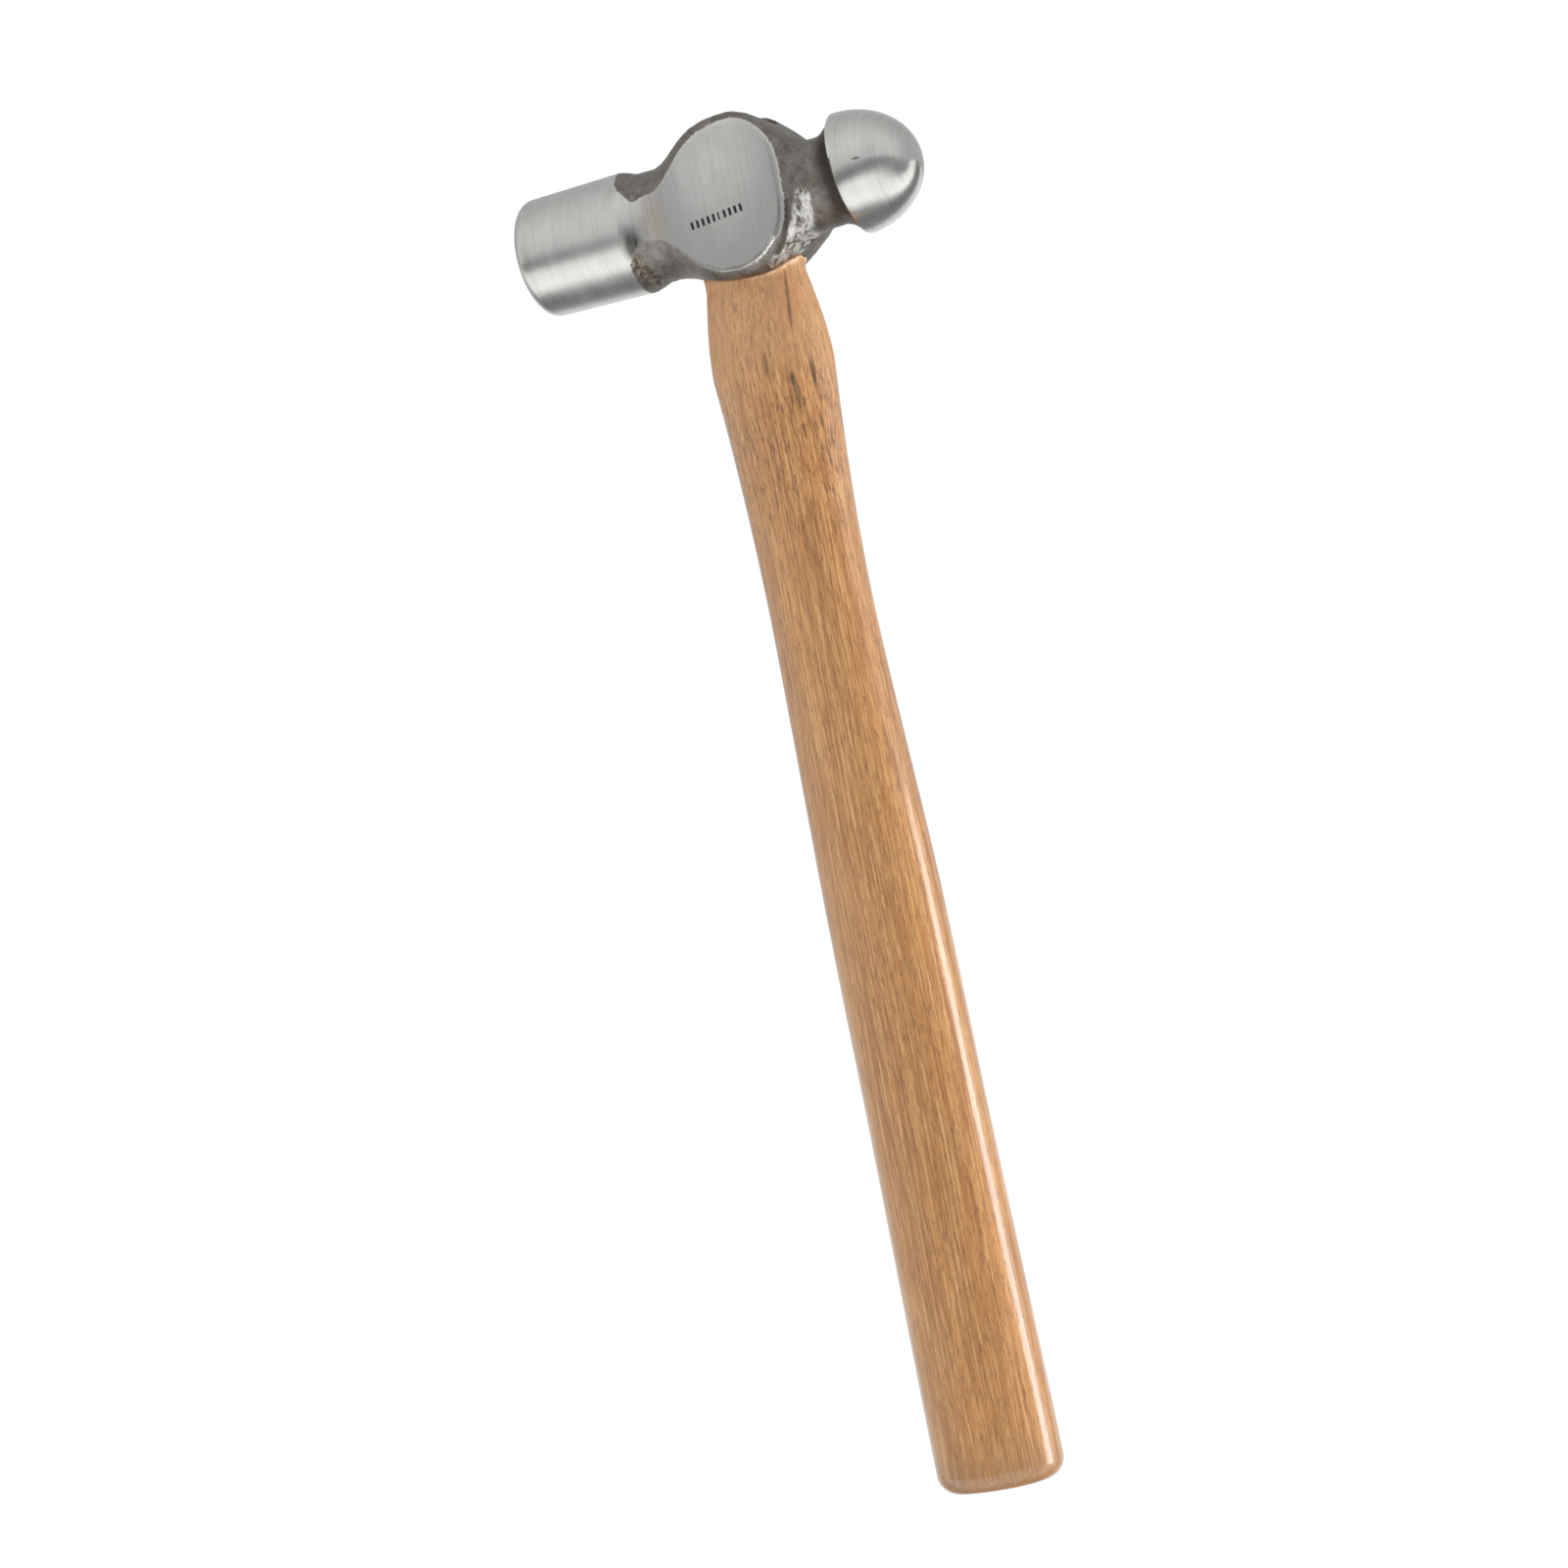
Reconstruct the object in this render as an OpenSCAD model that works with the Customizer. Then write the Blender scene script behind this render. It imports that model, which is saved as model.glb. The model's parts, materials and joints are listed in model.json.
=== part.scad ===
// Ball peen hammer with a forged head and a wedged wooden handle, lying on its side.
// X runs along the head from the striking face to the ball, and Y runs up the handle.
// Every shape is drawn about the eye's centre and then set down on the surface it lies on.

/* [Poll] */
// Distance from the handle's centre line to the striking face
face_reach = 56.9; // [52:0.1:70]
// Radius of the poll just behind the edge of the striking face
poll_face_r = 15; // [14:0.1:15.4]
// Radius of the poll at its shoulder, where it is widest
poll_shoulder_r = 15.5; // [15:0.1:17]
// Distance from the handle's centre line to the shoulder
shoulder_reach = 29.5; // [28:0.1:33]
// Rounding of the edge of the striking face
face_edge_r = 3; // [0.5:0.1:3]
// Radius of the neck between poll and eye
poll_neck_r = 14.1; // [13:0.1:15]
// Length over which the neck falls away from the shoulder, above and below
neck_run = 4.4; // [4:0.1:7]

/* [Eye boss] */
// Place of the boss's highest point along the head
boss_x = 3.5; // [0:0.1:4]
// Place of the boss's middle above the head's axis
boss_y = 1; // [0:0.1:1.5]
// Half of the boss's height, along the handle
boss_half_height = 21; // [19:0.1:23]
// Half of the boss's width before the cheeks are ground flat
boss_half_width = 17.8; // [16:0.1:19]
// Length over which the height falls to the poll's neck
height_run_poll = 24.1; // [22:0.1:27]
// Length over which the height falls to the ball's neck
height_run_ball = 19.2; // [18:0.1:21]
// Length over which the width falls to the poll's neck
width_run_poll = 19.5; // [16:0.1:22]
// Length over which the width falls to the ball's neck
width_run_ball = 15.4; // [14:0.1:18]
// Fullness of the height's fall to the poll's neck
height_fullness_poll = 1.4; // [1:0.1:2]
// Fullness of the height's fall to the ball's neck
height_fullness_ball = 1.1; // [1:0.1:2]
// Fullness of the width's fall to the ball's neck
width_fullness_ball = 1.8; // [1:0.1:4]
// Step at each end of the boss, where the forged surface meets a turned one
boss_step = 0.2; // [0.1:0.05:0.4]
// Squareness of the boss's section, where 2 is an ellipse
boss_squareness = 3.1; // [2.5:0.1:5]

/* [Cheeks] */
// Distance from the head's middle to each ground cheek
cheek_reach = 12.5; // [12:0.1:13.5]
// Radius of the cove between a cheek and the poll
cove_r = 5; // [4:0.1:8]
// Distance from the handle's centre line to where the cove starts
cove_reach = 22; // [21:0.1:24]

/* [Ball] */
// Radius of the neck between eye and ball
ball_neck_r = 11.4; // [10:0.1:12]
// Distance from the handle's centre line to the end of that neck
ball_neck_reach = 23.4; // [22:0.1:24]
// Distance from the handle's centre line to the ball's widest ring
ball_reach = 30; // [28:0.1:31]
// Radius of the ball's widest ring
ball_r = 15; // [13:0.1:15.4]
// Length of the ball from its widest ring to its tip
ball_nose = 18.6; // [16:0.1:22]
// Length of the ball's blunt edge behind its widest ring
ball_edge = 1; // [0.5:0.1:1.5]

/* [Handle] */
// Distance from the head's axis to the butt
handle_reach = 322.3; // [250:0.1:420]
// Width along the head, at the eye's mouth
mouth_width = 26; // [25:0.2:28]
// Thickness across the head, at the eye's mouth
mouth_thickness = 18; // [16:0.2:19]
// Width along the head, at the narrowest part of the eye
eye_width = 25; // [24:0.2:27]
// Thickness across the head, at the narrowest part of the eye
eye_thickness = 17.2; // [15:0.2:18.4]
// Width along the head, at the eye's top, where the wedges spread the wood
eye_top_width = 26.6; // [26:0.2:28]
// Thickness across the head, at the eye's top, where the wedges spread the wood
eye_top_thickness = 19.2; // [17:0.2:20]
// Width along the head, at the bulge below the head
bulge_width = 31; // [29:0.2:36]
// Thickness across the head, at the bulge below the head
bulge_thickness = 23.6; // [21:0.2:27]
// Width along the head, at the waist
waist_width = 26.4; // [24:0.2:30]
// Thickness across the head, at the waist
waist_thickness = 20.6; // [18:0.2:24]
// Width along the head, at the top of the grip
grip_width = 30.2; // [27:0.2:34]
// Thickness across the head, at the top of the grip
grip_thickness = 23.4; // [20:0.2:27]
// Width along the head, at the butt
butt_width = 32; // [28:0.2:38]
// Thickness across the head, at the butt
butt_thickness = 24.6; // [21:0.2:30]
// Distance from the head's axis to the bulge
bulge_reach = 42.4; // [38:0.1:50]
// Distance from the head's axis to the waist
waist_reach = 101.3; // [85:0.1:130]
// Distance from the head's axis to the top of the grip
grip_reach = 205.7; // [150:0.1:230]
// Fullness of the handle's swell from the waist to the grip
grip_fullness = 0.8; // [0.6:0.05:1.4]
// Sideways bow of the handle's centre line towards the poll, at the waist
handle_bow = 0.5; // [0:0.1:1]
// Length of the rounding of the butt's edge
butt_edge = 4.2; // [2:0.1:6]
// Height of the butt's dome
butt_dome = 1.5; // [0.5:0.1:3]
// Squareness of the handle's section, where 2 is an ellipse
handle_squareness = 2.2; // [2:0.1:2.6]
// Depth of the handle's end below the steel around it
end_recess = 0.3; // [0.1:0.1:1]

/* [Wedges] */
// Depth of the wooden wedge below the top of the eye boss
wood_wedge_depth = 30; // [20:1:34]
// Thickness of the wooden wedge at its top
wood_wedge_top = 4.8; // [3:0.1:6]
// Thickness of the wooden wedge at its tip
wood_wedge_tip = 1; // [0.4:0.1:1.6]
// Depth of each steel wedge
steel_wedge_depth = 18; // [12:1:24]
// Thickness of each steel wedge at its top
steel_wedge_top = 2.6; // [1.6:0.1:3.4]
// Thickness of each steel wedge at its tip
steel_wedge_tip = 0.4; // [0.2:0.1:1]
// Width of each steel wedge
steel_wedge_width = 13; // [8:0.5:14]
// Distance of each steel wedge from the handle's centre line
steel_wedge_offset = 5.6; // [4.5:0.1:7]
// Skew of the steel wedges from straight across the wooden one
steel_wedge_skew = 25; // [0:1:40]

/* [Hidden] */
$fn = 96;

poll_side_steps = 22;
ball_side_steps = 12;
boss_points = 56;
handle_points = 40;
grip_steps = 10;
waist_steps = 12;
bulge_steps = 8;
shoulder_steps = 4;
eye_steps = 6;
edge_steps = 5;
crown_steps = 4;
crown_tries = 5;
butt_flat = 0.75;
smallest_ring = 0.02;
arc_steps = 8;
nose_steps = 20;

boss_start_x = -shoulder_reach;
boss_end_x = boss_x + height_run_ball;
tip_x = ball_reach + ball_nose;
crown_y = boss_y + boss_half_height;
eye_cut_y = crown_y + 2;
mouth_y = boss_y - boss_half_height;
middle = [(tip_x - face_reach) / 2, (crown_y - end_recess - handle_reach) / 2];
lift = poll_shoulder_r;
mouth_half = [mouth_width, mouth_thickness] / 2;
eye_half = [eye_width, eye_thickness] / 2;
eye_top_half = [eye_top_width, eye_top_thickness] / 2;
bulge_half = [bulge_width, bulge_thickness] / 2;
waist_half = [waist_width, waist_thickness] / 2;
grip_half = [grip_width, grip_thickness] / 2;
butt_half = [butt_width, butt_thickness] / 2;

// Falls smoothly from 1 to 0 as t goes from 0 to 1
function fall(t) = (1 + cos(180 * min(1, max(0, t)))) / 2;
function mix(a, b, t) = a + (b - a) * t;
function steps(from, to, count) = [for (i = [1 : count]) mix(from, to, i / count)];

// The eye boss and its necks, as a section at each place x along the head
function on_poll_side(x) = x < boss_x;
function height_share(x) = on_poll_side(x)
    ? fall(pow((boss_x - x) / height_run_poll, height_fullness_poll))
    : fall(pow((x - boss_x) / height_run_ball, height_fullness_ball));
function width_share(x) = on_poll_side(x)
    ? fall((boss_x - x) / width_run_poll)
    : fall(pow((x - boss_x) / width_run_ball, width_fullness_ball));
function neck_r(x, start) = on_poll_side(x)
    ? mix(poll_neck_r, poll_shoulder_r - boss_step, fall((x + start) / neck_run))
    : ball_neck_r;
function half_height(x) =
    mix(neck_r(x, shoulder_reach), boss_half_height, height_share(x));
function half_width(x) =
    mix(neck_r(x, cove_reach + cove_r), boss_half_width, width_share(x));
function squareness(x) =
    mix(2, boss_squareness, sqrt(height_share(x) * width_share(x)));
function middle_y(x) = boss_y * height_share(x);
function boss_top(x, z) = middle_y(x) + half_height(x)
    * pow(1 - pow(abs(z) / half_width(x), squareness(x)), 1 / squareness(x));

// A closed curve between an ellipse and a rectangle, in its own two axes
function oval(half, power, points) = [
    for (i = [0 : points - 1])
        let (a = 360 * i / points, c = cos(a), s = sin(a))
        let (k = pow(pow(abs(c), power) + pow(abs(s), power), -1 / power))
        [half[0] * c * k, half[1] * s * k]
];
function arc(centre, r, from, to) = [
    for (i = [0 : arc_steps])
        let (a = mix(from, to, i / arc_steps))
        centre + r * [cos(a), sin(a)]
];

// Half widths of the handle at each height y, from the eye's top down to the butt
function handle_half(y) =
    y > 0 ? mix(eye_half, eye_top_half, y / crown_y)
    : y > mouth_y ? mix(eye_half, mouth_half, 1 - fall(y / mouth_y))
    : y > -bulge_reach
        ? mix(mouth_half, bulge_half, sin(90 * (mouth_y - y) / (mouth_y + bulge_reach)))
    : y > -waist_reach
        ? mix(waist_half, bulge_half, pow((y + waist_reach) / (waist_reach - bulge_reach), 2))
    : y > -grip_reach
        ? mix(grip_half, waist_half,
            fall(pow((-y - waist_reach) / (grip_reach - waist_reach), grip_fullness)))
    : mix(butt_half, grip_half, fall((-y - grip_reach) / (handle_reach - grip_reach)));
function handle_middle(y) =
    -handle_bow * fall(abs(y + waist_reach) / (waist_reach - bulge_reach / 2));
function handle_ring(y) = [
    for (p = oval(handle_half(y), handle_squareness, handle_points))
        [handle_middle(y) + p[0], y, p[1]]
];

// The butt is a shallow dome that turns down past butt_flat; share runs from 0 at its middle to 1
function butt_ring(share) = [
    let (turn = max(0, share - butt_flat) / (1 - butt_flat))
    let (y = butt_dome * pow(share, 2) + butt_edge * (1 - sqrt(1 - pow(turn, 2))) - handle_reach)
    for (p = oval(share * butt_half, handle_squareness, handle_points))
        [p[0], y, p[1]]
];

// Height at which the handle ends, in the direction u from its centre line
function end_y(u, y, tries) = tries == 0
    ? y
    : let (half = handle_half(y))
      end_y(u, boss_top(half[0] * u[0], half[1] * u[1]) - end_recess, tries - 1);
function end_ring(share) = [
    for (u = oval([1, 1], handle_squareness, handle_points))
        let (half = share * handle_half(end_y(u, crown_y, crown_tries)))
        let (x = half[0] * u[0], z = half[1] * u[1])
        [x, boss_top(x, z) - end_recess, z]
];

// Skins a list of rings that all have the same number of points
module loft(rings) {
    n = len(rings);
    m = len(rings[0]);
    sides = [
        for (i = [0 : n - 2], j = [0 : m - 1])
            let (a = i * m + j, b = i * m + (j + 1) % m)
            each [[a, b, b + m], [a, b + m, a + m]]
    ];
    first = [for (j = [m - 1 : -1 : 0]) j];
    last = [for (j = [0 : m - 1]) (n - 1) * m + j];
    polyhedron([for (ring = rings) each ring], concat([first], sides, [last]), 6);
}

// Turns an outline of [radius, place along the head] about the head's axis
module turned(outline) {
    rotate([0, 90, 0])
        rotate_extrude()
            polygon(outline);
}

// Draws an outline of [height, place] and carries it a given length to each side
module wedge(outline, half_length) {
    rotate([90, 0, 90])
        translate([0, 0, -half_length])
            linear_extrude(2 * half_length)
                polygon(outline);
}
function wedge_outline(depth, top, tip) = [
    [crown_y - depth, -tip / 2],
    [crown_y - depth, tip / 2],
    [crown_y, top / 2],
    [crown_y, -top / 2]
];

module placed() {
    translate([-middle[0], -middle[1], lift])
        children();
}

module poll() {
    edge_centre = [poll_face_r - face_edge_r, face_edge_r - face_reach];
    turned(concat(
        [[0, -face_reach]],
        arc(edge_centre, face_edge_r, -90, 0),
        [[poll_shoulder_r, boss_start_x], [0, boss_start_x]]
    ));
}

module boss() {
    places = concat(
        [boss_start_x],
        steps(boss_start_x, boss_x, poll_side_steps),
        steps(boss_x, boss_end_x, ball_side_steps)
    );
    loft([
        for (x = places)
            [for (p = oval([half_height(x), half_width(x)], squareness(x), boss_points))
                [x, middle_y(x) + p[0], -p[1]]]
    ]);
}

module ball() {
    turned_neck_r = ball_neck_r - boss_step;
    flank_end = [ball_r - ball_edge / 2, ball_reach - ball_edge];
    flank = [
        for (t = steps(0, 1, arc_steps))
            [mix(turned_neck_r, flank_end[0], t * t), mix(ball_neck_reach, flank_end[1], t)]
    ];
    nose = [
        for (i = [0 : nose_steps])
            let (a = 90 * i / nose_steps)
            [ball_r * cos(a), ball_reach + ball_nose * sin(a)]
    ];
    neck = [[0, boss_end_x], [turned_neck_r, boss_end_x], [turned_neck_r, ball_neck_reach]];
    turned(concat(neck, flank, nose));
}

// The waste that is ground off one cheek, with a cove where it runs out at the poll
module cheek_waste() {
    span = 60;
    depth = 10;
    translate([-cove_reach, -span / 2, cheek_reach])
        cube([cove_reach + boss_end_x, span, depth]);
    translate([-cove_reach, span / 2, cheek_reach + cove_r])
        rotate([90, 0, 0])
            cylinder(r = cove_r, h = span);
}

// The hole through the boss, which the handle fills
module eye() {
    loft([
        for (y = concat([-eye_cut_y], steps(-eye_cut_y, 0, eye_steps), [eye_cut_y]))
            handle_ring(y)
    ]);
}

// The whole shape of the handle, before it is split for the wedges
module handle_blank() {
    butt_start = butt_dome + butt_edge - handle_reach;
    shares = concat(
        [smallest_ring, butt_flat / 2],
        [for (i = [0 : edge_steps]) mix(butt_flat, 1, sin(90 * i / edge_steps))]
    );
    levels = concat(
        steps(butt_start, -grip_reach, grip_steps),
        steps(-grip_reach, -waist_reach, waist_steps),
        steps(-waist_reach, -bulge_reach, bulge_steps),
        steps(-bulge_reach, -eye_cut_y, shoulder_steps),
        steps(-eye_cut_y, 0, eye_steps)
    );
    loft(concat(
        [for (share = shares) butt_ring(share)],
        [for (y = levels) handle_ring(y)],
        [for (i = [crown_steps : -1 : 0]) end_ring(max(i / crown_steps, smallest_ring))]
    ));
}

module wood_wedge_blank() {
    wedge(wedge_outline(wood_wedge_depth, wood_wedge_top, wood_wedge_tip), eye_top_width);
}

module steel_wedge_blank(side) {
    outline = wedge_outline(steel_wedge_depth, steel_wedge_top, steel_wedge_tip);
    translate([side * steel_wedge_offset, 0, 0])
        rotate([0, 90 + steel_wedge_skew, 0])
            wedge(outline, steel_wedge_width / 2);
}

module head() {
    color([0.62, 0.62, 0.61])
        placed()
            difference() {
                union() {
                    poll();
                    boss();
                    ball();
                }
                cheek_waste();
                mirror([0, 0, 1])
                    cheek_waste();
                eye();
            }
}

module handle() {
    color([0.77, 0.59, 0.42])
        placed()
            difference() {
                handle_blank();
                wood_wedge_blank();
                steel_wedge_blank(-1);
                steel_wedge_blank(1);
            }
}

module wood_wedge() {
    color([0.86, 0.72, 0.53])
        placed()
            difference() {
                intersection() {
                    handle_blank();
                    wood_wedge_blank();
                }
                steel_wedge_blank(-1);
                steel_wedge_blank(1);
            }
}

module steel_wedge(side) {
    color([0.42, 0.42, 0.43])
        placed()
            intersection() {
                handle_blank();
                steel_wedge_blank(side);
            }
}

module steel_wedge_poll_side() {
    steel_wedge(-1);
}

module steel_wedge_ball_side() {
    steel_wedge(1);
}

head();
handle();
wood_wedge();
steel_wedge_poll_side();
steel_wedge_ball_side();
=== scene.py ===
"""A ball peen hammer: forged and ground head, wedged and lacquered hardwood handle.

Shapes are worked out in millimetres about the eye's centre, with X along the head to the ball, Y up
the handle and Z across the cheeks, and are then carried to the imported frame, in metres.
"""
import json
import math
import bmesh
import bpy
import numpy as np
from mathutils import Matrix, Vector, noise


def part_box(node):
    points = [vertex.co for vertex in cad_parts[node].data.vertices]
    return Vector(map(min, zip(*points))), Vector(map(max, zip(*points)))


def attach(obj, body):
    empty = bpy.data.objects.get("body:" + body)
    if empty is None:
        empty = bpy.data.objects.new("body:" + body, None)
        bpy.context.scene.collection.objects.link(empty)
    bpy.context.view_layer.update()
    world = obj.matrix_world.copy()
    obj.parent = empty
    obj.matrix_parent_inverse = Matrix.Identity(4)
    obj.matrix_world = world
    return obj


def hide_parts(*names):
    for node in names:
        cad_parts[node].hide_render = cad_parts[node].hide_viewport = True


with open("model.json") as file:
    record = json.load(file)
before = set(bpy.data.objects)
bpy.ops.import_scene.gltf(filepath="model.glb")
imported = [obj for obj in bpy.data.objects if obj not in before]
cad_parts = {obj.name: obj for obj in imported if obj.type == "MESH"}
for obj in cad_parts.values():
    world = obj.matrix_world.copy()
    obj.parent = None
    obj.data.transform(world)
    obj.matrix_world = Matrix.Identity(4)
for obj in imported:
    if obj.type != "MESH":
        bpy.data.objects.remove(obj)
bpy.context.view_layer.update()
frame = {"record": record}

# ---------------------------------------------------------------- places and sizes from the frame
MM = 0.001
MOUNTS = {mount["name"]: mount["pos_m"] for mount in frame["record"]["mounts"]}
EYE_CENTRE = Vector((MOUNTS["hanging_shoulder"][0], *MOUNTS["striking_face"][1:]))
HEAD_LOW, HEAD_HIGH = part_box("head")
HANDLE_LOW, HANDLE_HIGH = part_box("handle")

FACE_REACH = (EYE_CENTRE.x - HEAD_LOW.x) / MM
TIP_REACH = (HEAD_HIGH.x - EYE_CENTRE.x) / MM
POLL_R = (HEAD_HIGH.z - EYE_CENTRE.z) / MM
CHEEK_REACH = (MOUNTS["upper_cheek"][2] - EYE_CENTRE.z) / MM
CROWN_REACH = (HANDLE_HIGH.y - EYE_CENTRE.y) / MM
BUTT_REACH = (EYE_CENTRE.y - HANDLE_LOW.y) / MM


def fall(t):
    """Falls smoothly from 1 to 0 as t goes from 0 to 1."""
    return (1 + np.cos(np.pi * np.clip(t, 0, 1))) / 2


def mix(a, b, t):
    return a + (b - a) * t


def curve_through(x, stations):
    """Height at x of a smooth curve through all the stations, each a (place, height) pair."""
    place, height = np.array(stations, float).T
    slope = np.gradient(height, place)
    x = np.clip(x, place[0], place[-1])
    i = np.clip(np.searchsorted(place, x, side="right") - 1, 0, len(place) - 2)
    run = place[i + 1] - place[i]
    t = (x - place[i]) / run
    from_left = height[i] * (1 + 2 * t) * (1 - t) ** 2 + run * slope[i] * t * (1 - t) ** 2
    from_right = height[i + 1] * t ** 2 * (3 - 2 * t) - run * slope[i + 1] * t ** 2 * (1 - t)
    return from_left + from_right


def from_path(x, y, path):
    """Distance from each place (x, y) to a path of straight runs."""
    nearest = np.full(np.shape(x), np.inf)
    for (ax, ay), (bx, by) in zip(path, path[1:]):
        along = ((x - ax) * (bx - ax) + (y - ay) * (by - ay)) / ((bx - ax) ** 2 + (by - ay) ** 2)
        along = np.clip(along, 0, 1)
        nearest = np.minimum(nearest, np.hypot(x - mix(ax, bx, along), y - mix(ay, by, along)))
    return nearest


def field_noise(points, size, seed, octaves=2):
    """Smooth noise from about -1 to 1 at each point; size is its largest feature in millimetres."""
    shift = Vector((17.3, 5.1, 9.7)) * seed
    flat = (points / size).reshape(-1, 3)
    values = [noise.fractal(Vector(p) + shift, 0.8, 2.1, octaves) for p in flat]
    return np.array(values).reshape(points.shape[:-1])


# ---------------------------------------------------------------- meshes
SHARP_ANGLE = math.radians(50)


def ring_faces(rings, count, first=0):
    """Quads between successive closed rings of count vertices."""
    ring = np.arange(rings - 1)[:, None] * count + first
    here = np.arange(count)[None, :]
    after = (here + 1) % count
    quads = np.stack([ring + here, ring + after, ring + count + after, ring + count + here], axis=-1)
    return quads.reshape(-1, 4)


def skin(name, rings, start=None, end=None, faces=None):
    """A closed mesh over an array of rings of points in millimetres, with a pole at each end."""
    rings = np.asarray(rings, float)
    n, count = rings.shape[:2]
    start = rings[0].mean(axis=0) if start is None else start
    end = rings[-1].mean(axis=0) if end is None else end
    points = np.concatenate([rings.reshape(-1, 3), [start], [end]])
    faces = list(map(tuple, ring_faces(n, count))) if faces is None else faces
    last = (n - 1) * count
    for i in range(count):
        j = (i + 1) % count
        faces.append((n * count, j, i))
        faces.append((n * count + 1, last + i, last + j))
    mesh = bpy.data.meshes.new(name)
    mesh.from_pydata((points * MM + np.array(EYE_CENTRE)).tolist(), [], faces)
    mesh.validate()
    body = bmesh.new()
    body.from_mesh(mesh)
    bmesh.ops.recalc_face_normals(body, faces=body.faces)
    body.to_mesh(mesh)
    body.free()
    mesh.shade_smooth()
    piece = bpy.data.objects.new(name, mesh)
    bpy.context.scene.collection.objects.link(piece)
    return piece


def set_attribute(piece, name, values):
    """Gives every vertex a number that the piece's material reads; each pole takes its ring's mean."""
    poles = [np.mean(values[0]), np.mean(values[-1])]
    attribute = piece.data.attributes.new(name, "FLOAT", "POINT")
    attribute.data.foreach_set("value", np.concatenate([np.ravel(values), poles]).astype(np.float32))


def apply_modifiers(piece):
    """Replaces the piece's mesh with what its modifiers make of it."""
    graph = bpy.context.evaluated_depsgraph_get()
    made = bpy.data.meshes.new_from_object(piece.evaluated_get(graph), depsgraph=graph)
    piece.modifiers.clear()
    old, piece.data = piece.data, made
    bpy.data.meshes.remove(old)


def cut_away(piece, cutter):
    """Takes the cutter's shape out of the piece and removes the cutter."""
    cut = piece.modifiers.new("cut", "BOOLEAN")
    cut.operation = "DIFFERENCE"
    cut.solver = "MANIFOLD"
    cut.object = cutter
    apply_modifiers(piece)
    piece.data.materials.clear()
    bpy.data.objects.remove(cutter)


# ---------------------------------------------------------------- head, in millimetres
FACE_R = 15.0
FACE_EDGE_R = 3.0
FACE_CROWN = 0.12
POLL_NECK_R = 14.1
BALL_NECK_R = 11.3
BOSS_X = 3.5
BOSS_TOP = CROWN_REACH + 0.3
BOSS_BOTTOM = 20.0
HEIGHT_RUN_POLL = 24.1
HEIGHT_RUN_BALL = 19.2
HEIGHT_POWER_POLL = 1.4
HEIGHT_POWER_BALL = 1.1
# Half of the boss's forged width at places along the head, above and below its axis
WIDTH_ABOVE = ((-27, 14.1), (-8, 13.8), (0, 14.0), (6.3, 14.5), (13.2, 14.1), (16, 12.55), (18.5, 11.3))
WIDTH_BELOW = (
    (-27, 14.1), (-18, 13.6), (-8, 14.2), (0.6, 14.5), (6.3, 13.7), (10.9, 13.1), (15.4, 12.5), (19, 11.3),
)
SHOULDER_X = -27.0
SHOULDER_RUN = 5.2
POLL_NECK_X = -20.0
COVE_X = -18.0
CHEEK_END_X = 20.0
CHEEK_HALF_LENGTH = 15.6
CHEEK_HALF_HEIGHT = 18.3
CHEEK_MIDDLE_Y = 1.0
CHEEK_POWER = 2.5
BEVEL_SLOPE = 11
BEVEL_DEPTH = 0.28
FLANK_X = 24.8
FLANK_RUN = 5.6
FLANK_RISE = 3.2
BALL_X = 30.0
BALL_R = 15.4
BALL_NOSE = TIP_REACH - BALL_X
BALL_TILT = math.radians(3.0)
BALL_TILT_X = 32.7
HEAD_ANGLES = 288
FACE_RINGS = 12
FACE_EDGE_RINGS = 10
POLL_RINGS = 54
SHOULDER_RINGS = 28
FORGED_RINGS = 156
BALL_RINGS = 56
# Routes of the torn and grooved forging on the near side, as places (along the head, up the handle)
SCAR_PATH = ((20.6, -3.5), (18.5, -9.6), (14.4, -15.9), (10.0, -18.8))
SCAR_REACH = 2.9
GROOVE_PATH = ((16.7, -4.0), (15.7, -9.0), (13.6, -13.3), (11.2, -15.7))
GROOVE_REACH = 1.15
NOTCH_PATH = ((-25.9, -9.2), (-24.2, -13.6))
NOTCH_REACH = 2.5


def head_height(x, peak):
    """Distance from the head's axis to the forged surface above or below it."""
    to_poll = (np.maximum(BOSS_X - x, 0) / HEIGHT_RUN_POLL) ** HEIGHT_POWER_POLL
    to_ball = (np.maximum(x - BOSS_X, 0) / HEIGHT_RUN_BALL) ** HEIGHT_POWER_BALL
    poll_side = mix(POLL_NECK_R, peak, fall(to_poll))
    ball_side = mix(BALL_NECK_R, peak, fall(to_ball))
    return np.where(x < BOSS_X, poll_side, ball_side)


def head_width(x, above):
    """Distance from the head's axis to the forged surface at its side, before the cheeks are ground."""
    return mix(curve_through(x, WIDTH_BELOW), curve_through(x, WIDTH_ABOVE), above)


def head_squareness(x):
    """Power of the boss's section, where 2 is an ellipse and 5 is a box with rounded corners."""
    poll_side = fall((np.maximum(BOSS_X - x, 0) / HEIGHT_RUN_POLL) ** HEIGHT_POWER_POLL) ** 1.5
    ball_side = fall((x - BOSS_X - 12.5) / 5.5)
    return 2 + 3 * np.where(x < BOSS_X, poll_side, ball_side)


def shoulder_x(angle):
    """Where the turned poll ends; it wanders a little round the head."""
    steep = 1 - np.abs(np.cos(angle))
    return SHOULDER_X - 2.0 * steep - 0.3 * np.sin(angle) + 0.2 * np.sin(3 * angle + 0.6)


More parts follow.
